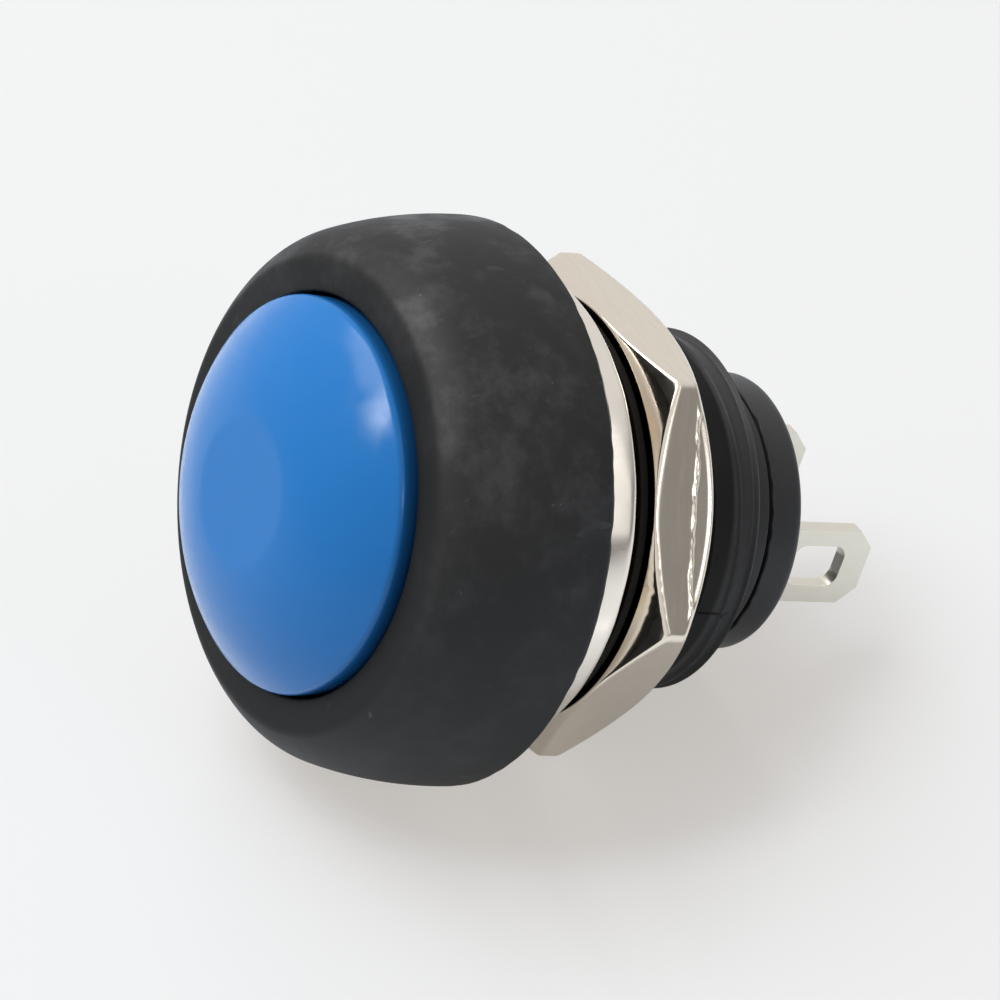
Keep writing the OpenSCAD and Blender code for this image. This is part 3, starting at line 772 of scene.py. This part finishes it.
class SWITCH_OT_lock_washer(SwitchOperator, Operator):
    """Build the lock washer: a plain band with inner teeth that twist a little"""

    bl_idname = "switch.lock_washer"
    bl_label = "Lock Washer"

    def execute(self, context):
        teeth, gap_share, flank, twist = 14, 0.42, 0.004, 0.03
        bore, root = sizes().crest_radius + 0.07, WASHER_R - 0.48
        step = TAU / teeth
        half = 0.5 * gap_share * step
        # one tooth gap, its two flanks and the tooth between it and the next gap
        inside = np.linspace(-half + flank, half - flank, 5)
        outside = np.linspace(half, step - half, 9)
        local = np.concatenate([inside, outside])
        a = (np.arange(teeth)[:, None] * step + local).ravel()[:, None] + math.pi / 2
        gap = np.tile(np.repeat([1, 0], [5, 9]), teeth)[:, None]
        side = np.tile(np.concatenate([np.zeros(5), np.linspace(-1, 1, 9)]), teeth)[:, None]
        inner = np.where(gap, root, bore)
        corners = np.stack([columns(a, inner, WASHER_R, WASHER_R, inner),
                            columns(a, WASHER_FRONT, WASHER_FRONT, WASHER_END, WASHER_END)], -1)
        outline = soften(corners, 0.06, 3)
        r, y = outline[..., 0], outline[..., 1]
        lean = np.clip((root - r) / (root - bore), 0, 1) * side * twist
        lathe("washer_band", r, y + lean, a, black_steel_shade_finish(), "washer", "lock_washer")
        return {"FINISHED"}


class SWITCH_OT_hex_nut(SwitchOperator, Operator):
    """Build the hexagon nut: chamfered faces, a wavy break line on its flats and a cut thread"""

    bl_idname = "switch.hex_nut"
    bl_label = "Hexagon Nut"

    def execute(self, context):
        s = sizes()
        a, hexagon = self.hexagon(s.flat_radius, s.corner_round)
        # a section runs from the front mouth over the front face, the flat, the rear face and back
        # through the bore. The chamfers fall by their slope times the hexagon's reach over the face
        half, crest, low, high = s.flat_radius, s.crest_radius + s.thread_gap, NUT_FRONT, NUT_END
        mouth, face, lead, rear_deeper = crest + 0.3, half - 0.1, 0.3, 1.22
        drop = (hexagon - face) * math.tan(s.nut_chamfer)
        front, rear = low + drop, high - drop * rear_deeper
        corners = np.stack([columns(a, mouth, face, hexagon, hexagon, face, mouth, crest, crest),
                            columns(a, low, low, front, rear, high, high, high - lead, low + lead)],
                           -1)
        # one side of the nut has its front edge worn rounder than the rest
        worn_at, worn_half = 1.05, 0.5
        off = np.mod(a - worn_at + math.pi, TAU) - math.pi
        worn = 0.08 + 0.07 * np.exp(-(off / worn_half) ** 4)
        outline = soften(corners, columns(a, 0.03, 0.06, worn, 0.12, 0.06, 0.03, 0.03, 0.03), 4)
        # finer rows in the bore carry the thread, and finer rows over the flat the break line
        per = outline.shape[1] // 8
        grid = self.finer(self.finer(outline, 7 * per, 46), 3 * per, 34)
        r, y = grid[..., 0], grid[..., 1]
        # every second flat has a break line with a burr along it
        line = high - 0.74 + waves(a, "break line")
        on_flat = (smoothstep(y, rear - 0.06, rear - 0.14) * smoothstep(y, front, front + 0.1)
                   * smoothstep(r, half - 0.03, half)
                   * smoothstep(np.cos(3 * (a - math.radians(60))), -0.1, 0.2))
        burr = 0.07 * np.clip(0.6 + waves(a, "burr"), 0, 1.4)
        r = r - s.burr_relief * smoothstep(y, line - 0.03, line + 0.05) * on_flat
        r = r + burr * bell(y - line + 0.02, 0.055) * on_flat
        # nicks bead the front edge of every second flat, towards one of its corners
        nicked_at = 1.37
        nicks = smoothstep(np.cos(3 * (a - nicked_at)), 0.72, 0.95) * (0.6 + waves(a, "nicks"))
        y = y + 0.03 * nicks * bell(y - front, 0.12) * (r > half - 0.1)
        in_bore = (r < crest + 0.02) & (y > low + 0.2) & (y < high - 0.2)
        fade = smoothstep(y, low + 0.28, low + 0.42) * smoothstep(y, high - 0.28, high - 0.42)
        cut = thread_cut(a, y, s.thread_depth, s.thread_pitch) * fade
        r = np.where(in_bore, crest - cut, r)
        lathe("nut_body", r, y, a, nut_finish(), "nut", "hex_nut")
        return {"FINISHED"}

    @staticmethod
    def hexagon(half, rounding):
        """Angles and radii of a hexagon with round corners, one of them at +X. A flat lies at
        half / cos of the angle from its middle, and a corner is an arc about a point on the
        corner's own direction."""
        sixth = math.radians(60)
        tangent = math.atan((half - rounding) * math.tan(sixth / 2) / half)
        local = np.concatenate([np.linspace(-tangent, tangent, 86),
                                np.linspace(tangent, sixth - tangent, 10)[1:-1]])
        a = (np.arange(6)[:, None] * sixth + local).ravel()[:, None]
        off = np.abs(np.tile(local, 6))[:, None]
        off = np.minimum(off, sixth - off)
        back = sixth / 2 - off
        centre = (half - rounding) / math.cos(sixth / 2)
        arc = np.sqrt(np.maximum(rounding ** 2 - (centre * np.sin(back)) ** 2, 0))
        corner = centre * np.cos(back) + arc
        return a, np.where(off < tangent, half / np.cos(off), corner)

    @staticmethod
    def finer(outline, at, count):
        """Puts evenly spaced points into every section, before its point `at`."""
        share = np.linspace(0, 1, count + 2)[1:-1, None]
        first, last = outline[:, at - 1, None], outline[:, at, None]
        return np.concatenate([outline[:, :at], first + (last - first) * share, outline[:, at:]], 1)


class SWITCH_OT_base(SwitchOperator, Operator):
    """Build the base: its plug, its rim and the recess round the lugs"""

    bl_idname = "switch.base"
    bl_label = "Base"

    def execute(self, context):
        plug, recess, wall, rim = 3.87, BASE_END - 0.5, 0.75, TAIL_END + 0.1
        neck = (CHAMBER_R + BASE_R) / 2
        corners = [[0, BASE_FRONT], [plug, BASE_FRONT], [plug, TAIL_END], [neck, TAIL_END],
                   [neck, rim], [BASE_R, rim], [BASE_R, BASE_END], [BASE_R - wall, BASE_END],
                   [BASE_R - wall, recess], [0, recess]]
        cuts = [0, 0.05, 0.02, 0.02, 0.02, 0.06, 0.36, 0.08, 0.05, 0]
        outline = spread(soften(corners, cuts, 5), 0.3)
        a, r, y = turned(outline, even_turn(224))
        edge = smoothstep(r, neck, BASE_R) * smoothstep(y, rim + 0.2, rim)
        y = y + np.abs(waves(a, "base edge")) * edge
        lathe("base_rim", r, y, a, body_finish(), "housing", "base")
        return {"FINISHED"}


def refinish(name, material):
    """Gives a CAD node its finish."""
    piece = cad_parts[name]
    piece.data.materials.clear()
    piece.data.materials.append(material)
    return piece


class SWITCH_OT_lugs(SwitchOperator, Operator):
    """Finish the solder lugs: weld the CAD faces, bevel the edges and give them tin plate"""

    bl_idname = "switch.lugs"
    bl_label = "Solder Lugs"

    def execute(self, context):
        for name in ("terminal_left", "terminal_right"):
            piece = refinish(name, tin_finish())
            piece.modifiers.new("Weld", "WELD").merge_threshold = 1e-6
            bevel = piece.modifiers.new("Bevel", "BEVEL")
            bevel.width, bevel.segments, bevel.limit_method = 0.06 * MM, 3, "ANGLE"
            bevel.angle_limit = math.radians(40)
        return {"FINISHED"}


class SWITCH_OT_springs(SwitchOperator, Operator):
    """Build the two coil springs"""

    bl_idname = "switch.springs"
    bl_label = "Springs"

    def execute(self, context):
        s = sizes()
        coil, low, high = self.coil("return_coil", "return_spring", "housing", wire=0.4, turns=4.0)
        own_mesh(coil)
        coil, low, high = self.coil("contact_coil", "contact_spring", "button", wire=0.25,
                                    turns=4.5)
        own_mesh(coil)
        return {"FINISHED"}

    @staticmethod
    def coil(name, node, body, wire, turns):
        """A round wire swept along a helix. Its climb is 0.65 even and 0.35 a raised cosine, so
        the turns lie closer at both ends. The wire's ends close to a point."""
        per_turn, round_wire, eased = 44, 14, 0.35
        low, high, outer = stations(node)
        radius, climb = outer - wire / 2, high - low - wire
        a = np.linspace(0, TAU * turns, int(turns * per_turn) + 1)
        a = np.concatenate([a[:1], a, a[-1:]])[:, None]
        share = a / (TAU * turns)
        thick = np.full_like(a, wire / 2)
        thick[[0, -1]] = 0
        risen = eased * (0.5 - 0.5 * np.cos(math.pi * share)) + (1 - eased) * share
        b = even_turn(round_wire)
        r, y = radius + thick * np.cos(b), low + wire / 2 + climb * risen + thick * np.sin(b)
        verts = np.stack([r * np.cos(a), y, r * np.sin(a)], -1).reshape(-1, 3)
        faces = grid_faces(len(a), round_wire, False)
        piece = mesh_piece(name, verts, faces, plain_finish("Spring Steel"), body, node)
        return piece, low, high


class SWITCH_OT_inner_parts(SwitchOperator, Operator):
    """Give every inner CAD piece its own finish"""

    bl_idname = "switch.inner_parts"
    bl_label = "Inner Parts"

    def execute(self, context):
        for finish, row in PLAIN.items():
            for name in row[-1].split():
                refinish(name, plain_finish(finish))
        return {"FINISHED"}


# ---------------- stage

CAMERA = {
    "place": (322.166, -250.331, 192.277),
    "right": (0.45755, 0.83144, 0.31522),
    "up": (-0.52929, -0.03019, 0.8479),
    "back": (0.71449, -0.5548, 0.42626),
    "lens": 510.993,
}
# a way into the room, the cosines of a ray with it between which a level changes, and the levels
ROOM = {
    "mirrored": ((-0.579, -0.661, 0.478), -0.78, 0.26, 0.36, 0.81),
    "dimmed": ((0.73, 0.56, 0.41), 0.74, 0.96, 0.0, 0.12),
    "diffuse": ((-0.579, -0.661, 0.478), -0.6, 0.9, 0.06, 0.43),
}
BACKDROP = (0.93, 0.93, 0.93)
# the floor's own level to the camera and to glossy rays, and the colour of that glow
FLOOR = {"seen": 0.62, "mirrored": 0.3, "glow": (0.82, 0.775, 0.73)}
# place, which is right, up and back of the origin as the camera sees them, size, power, and
# whether glossy rays see it
LAMPS = {
    "key_box": ((-260, 380, 100), (760, 760), 2.0, False),
    "left_box": ((-172, 203, 228), (70, 130), 0.42, True),
    "top_box": ((-160, 360, 130), (240, 240), 0.75, True),
    "right_box": ((191, -7, 293), (60, 60), 0.08, True),
    "band_box": ((250, 60, 243), (130, 330), 0.08, True),
}


class SWITCH_OT_stage(SwitchOperator, Operator):
    """Set the camera, the pale floor and the studio light"""

    bl_idname = "switch.stage"
    bl_label = "Stage"

    def execute(self, context):
        scene = context.scene
        scene.view_settings.view_transform = "Standard"
        self.camera(scene)
        self.floor()
        self.room(scene)
        for name, row in LAMPS.items():
            self.lamp(scene, name, *row)
        return {"FINISHED"}

    def camera(self, scene):
        """A long lens, because the switch is seen from far away."""
        data = bpy.data.cameras.new("Camera")
        data.sensor_width, data.lens = 36.0, CAMERA["lens"]
        data.clip_start, data.clip_end = 0.02, 5.0
        camera = bpy.data.objects.new("Camera", data)
        turn = Matrix([CAMERA["right"], CAMERA["up"], CAMERA["back"]]).transposed().to_4x4()
        camera.matrix_world = Matrix.Translation(Vector(CAMERA["place"]) * MM) @ turn
        scene.collection.objects.link(camera)
        scene.camera = camera

    def floor(self):
        """A round sheet under the leaning axis. It touches the head's rear edge and the rear edge
        of the nut's lowest flat."""
        clearance, rings = 0.03, np.array([0.0, 15, 40, 100, 300, 900])
        head_y, nut_y = HEAD_END - 0.2, NUT_END - 0.06
        lean = math.atan2(HEAD_R - sizes().flat_radius, nut_y - head_y)
        normal = np.array([0, -math.sin(lean), math.cos(lean)])
        along = np.array([0, math.cos(lean), math.sin(lean)])
        point = np.array([0, head_y, -HEAD_R]) - clearance * normal
        r, a = (v[..., None] for v in np.meshgrid(rings, even_turn(96), indexing="ij"))
        verts = point + r * (np.cos(a) * np.array([1.0, 0, 0]) + np.sin(a) * along)
        new_object("floor_sheet", verts.reshape(-1, 3), grid_faces(len(rings), 96, False),
                            self.floor_finish())

    def floor_finish(self):
        """Pale satin sheet with a glow of its own for camera and glossy rays, clear from behind."""
        base = tuple(colours().floor)
        n = Finish("Floor Sheet", base, 0.22)
        slow = n.noise(Vector=n.coords(), Scale=14.0, Detail=1.0)
        tone = n.blend(n.range(slow, 0.3, 0.7, 0.0, 0.3), base, shade(base, 0.985))
        n.feed(n.shader, Base_Color=tone)
        ray = n.add("LightPath").outputs
        seen = n.math("MAXIMUM", n.times(ray["Is Camera Ray"], FLOOR["seen"]),
                      n.times(ray["Is Glossy Ray"], FLOOR["mirrored"]))
        glow = n.add("Emission", Color=(*FLOOR["glow"], 1), Strength=1.0).outputs[0]
        pale = n.add("MixShader", _0=seen, _1=n.shader.outputs[0], _2=glow).outputs[0]
        clear = n.add("BsdfTransparent").outputs[0]
        behind = n.add("NewGeometry").outputs["Backfacing"]
        sheet = n.add("MixShader", _0=behind, _1=pale, _2=clear).outputs[0]
        n.feed(n.tree.nodes["Material Output"], Surface=sheet)
        return n.material

    def room(self, scene):
        """A pale room. In reflections it is brighter above and to the left, with one dimmed part to
        the right; it has a level of its own for diffuse rays, and the camera sees a backdrop."""
        scene.world = bpy.data.worlds.new("Studio")
        scene.world.use_nodes = True
        n = Nodes(scene.world.node_tree)
        way = n.add("TexCoord").outputs["Generated"]

        def level(name):
            """One of the room's levels, by the cosine between a ray and its way."""
            side, *steps = ROOM[name]
            cosine = n.add("VectorMath", {"operation": "DOT_PRODUCT"}, _0=way, _1=side)
            return n.range(cosine.outputs["Value"], *steps)
        ray = n.add("LightPath").outputs
        diffuse, seen = ray["Is Diffuse Ray"], ray["Is Camera Ray"]
        mirrored = n.minus(level("mirrored"), level("dimmed"))
        light = n.plus(n.times(level("diffuse"), diffuse), n.times(mirrored, n.minus(1.0, diffuse)))
        n.feed(n.tree.nodes["Background"], Color=n.blend(seen, (1, 1, 1), BACKDROP),
               Strength=n.plus(n.times(light, n.minus(1.0, seen)), seen))

    def lamp(self, scene, name, place, size, power, glossy):
        """A soft box that faces the origin."""
        data = bpy.data.lights.new(name, "AREA")
        data.shape, data.energy = "RECTANGLE", power
        data.size, data.size_y = size[0] * MM, size[1] * MM
        light = bpy.data.objects.new(name, data)
        light.visible_glossy = glossy
        axes = (CAMERA["right"], CAMERA["up"], CAMERA["back"])
        light.location = Vector(sum(k * np.array(v) for k, v in zip(place, axes))) * MM
        light.rotation_mode = "QUATERNION"
        light.rotation_quaternion = (-light.location).to_track_quat("-Z", "Y")
        scene.collection.objects.link(light)


# ---------------- add-on

OPERATORS = (SWITCH_OT_button_cap, SWITCH_OT_head, SWITCH_OT_bushing, SWITCH_OT_seat_ring,
             SWITCH_OT_lock_washer, SWITCH_OT_hex_nut, SWITCH_OT_base, SWITCH_OT_lugs,
             SWITCH_OT_springs, SWITCH_OT_inner_parts, SWITCH_OT_stage)


class SWITCH_PT_panel(Panel):
    """Buttons and settings of the switch"""

    bl_idname = "SWITCH_PT_panel"
    bl_label = "Push Button Switch"
    bl_space_type = "VIEW_3D"
    bl_region_type = "UI"
    bl_category = "Switch"

    def draw(self, context):
        layout = self.layout
        for operator in OPERATORS:
            layout.operator(operator.bl_idname)
        for group in (context.scene.switch_sizes, context.scene.switch_colours):
            box = layout.box()
            for key in group.__annotations__:
                box.prop(group, key)


CLASSES = (SwitchSizes, SwitchColours, *OPERATORS, SWITCH_PT_panel)


def register():
    """Registers the classes and hangs the settings on the scene."""
    for cls in CLASSES:
        bpy.utils.register_class(cls)
    bpy.types.Scene.switch_sizes = PointerProperty(type=SwitchSizes)
    bpy.types.Scene.switch_colours = PointerProperty(type=SwitchColours)


def unregister():
    """Takes back all that register did."""
    del bpy.types.Scene.switch_colours
    del bpy.types.Scene.switch_sizes
    for cls in reversed(CLASSES):
        bpy.utils.unregister_class(cls)


def main():
    """Builds every piece."""
    register()
    for operator in OPERATORS:
        group, name = operator.bl_idname.split(".")
        if getattr(getattr(bpy.ops, group), name)() != {"FINISHED"}:
            raise RuntimeError(f"{operator.bl_label} did not finish")


if __name__ == "__main__":
    main()
